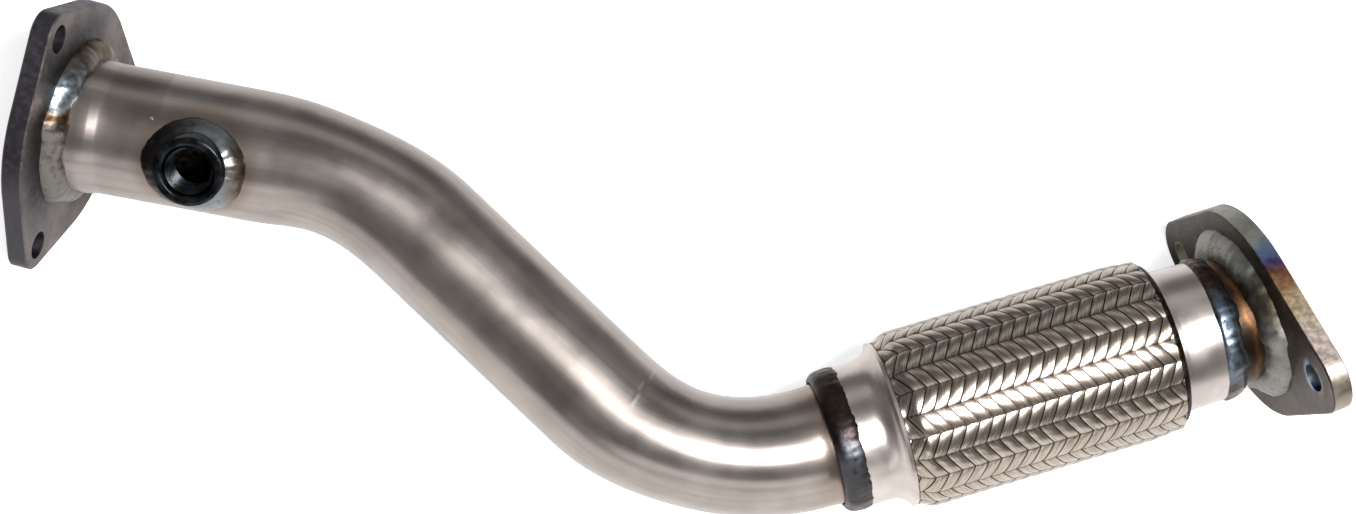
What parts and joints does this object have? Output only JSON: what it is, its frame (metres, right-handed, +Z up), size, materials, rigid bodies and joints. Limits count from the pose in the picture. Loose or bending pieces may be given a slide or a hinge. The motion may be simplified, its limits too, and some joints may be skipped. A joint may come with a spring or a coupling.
{
  "type": "exhaust pipe",
  "caption": "Bent exhaust front pipe with a lobed inlet flange, a threaded sensor port, a braided flex coupling and an oval outlet flange.",
  "frame": {"origin": "centre of the inlet flange's sealing face", "axes": "+Z up from the floor the pipe lies on, +X roughly along the pipe towards its outlet"},
  "size_m": [0.5016, 0.1925, 0.1051],
  "materials": {
    "tube_steel": "satin, faint straw tint by the welds",
    "flange_steel": "dull grey with heat tints",
    "port_steel": "dark grey",
    "weld_metal": "rippled, oxidised",
    "braid_wire": "bright woven wire",
    "coupling_steel": "bright pressed sheet",
    "inner_steel": "plain sheet"
  },
  "bodies": {
    "pipe_side": {"inlet_flange": "flange_steel", "inlet_flange_weld": "weld_metal", "front_pipe": "tube_steel", "sensor_port": "port_steel", "port_weld": "weld_metal", "pipe_to_flex_weld": "weld_metal", "front_collar": "coupling_steel", "front_sleeve": "inner_steel"},
    "coupling_core": {"bellows": "inner_steel", "inner_mesh": "inner_steel", "inner_liner": "inner_steel"},
    "braid_sleeve": {"outer_braid": "braid_wire"},
    "outlet_side": {"braid_end_ring": "port_steel", "rear_collar": "coupling_steel", "rear_sleeve": "inner_steel", "rear_collar_weld": "weld_metal", "outlet_stub": "tube_steel", "outlet_flange_weld": "weld_metal", "outlet_flange": "flange_steel"}
  },
  "joints": [
    {"name": "flex_up_down", "type": "hinge", "parent": "pipe_side", "child": "coupling_core", "pos_m": [0.37531, -0.09616, -0.00744], "axis": [0.3017, -0.9293, -0.2129], "range_deg": [-8, 8], "stiffness_Nm_per_rad": 120, "deforming": ["bellows", "inner_mesh", "inner_liner", "outer_braid"]},
    {"name": "flex_side_to_side", "type": "hinge", "parent": "coupling_core", "child": "braid_sleeve", "pos_m": [0.37531, -0.09616, -0.00744], "axis": [-0.0412, -0.2358, 0.9709], "range_deg": [-8, 8], "stiffness_Nm_per_rad": 120, "deforming": ["bellows", "inner_mesh", "inner_liner", "outer_braid"]},
    {"name": "flex_axial", "type": "slide", "parent": "braid_sleeve", "child": "outlet_side", "axis": [0.9525, 0.2841, 0.1094], "range_m": [-0.004, 0.004], "stiffness_N_per_m": 50000, "deforming": ["bellows", "inner_mesh", "inner_liner", "outer_braid"]}
  ]
}
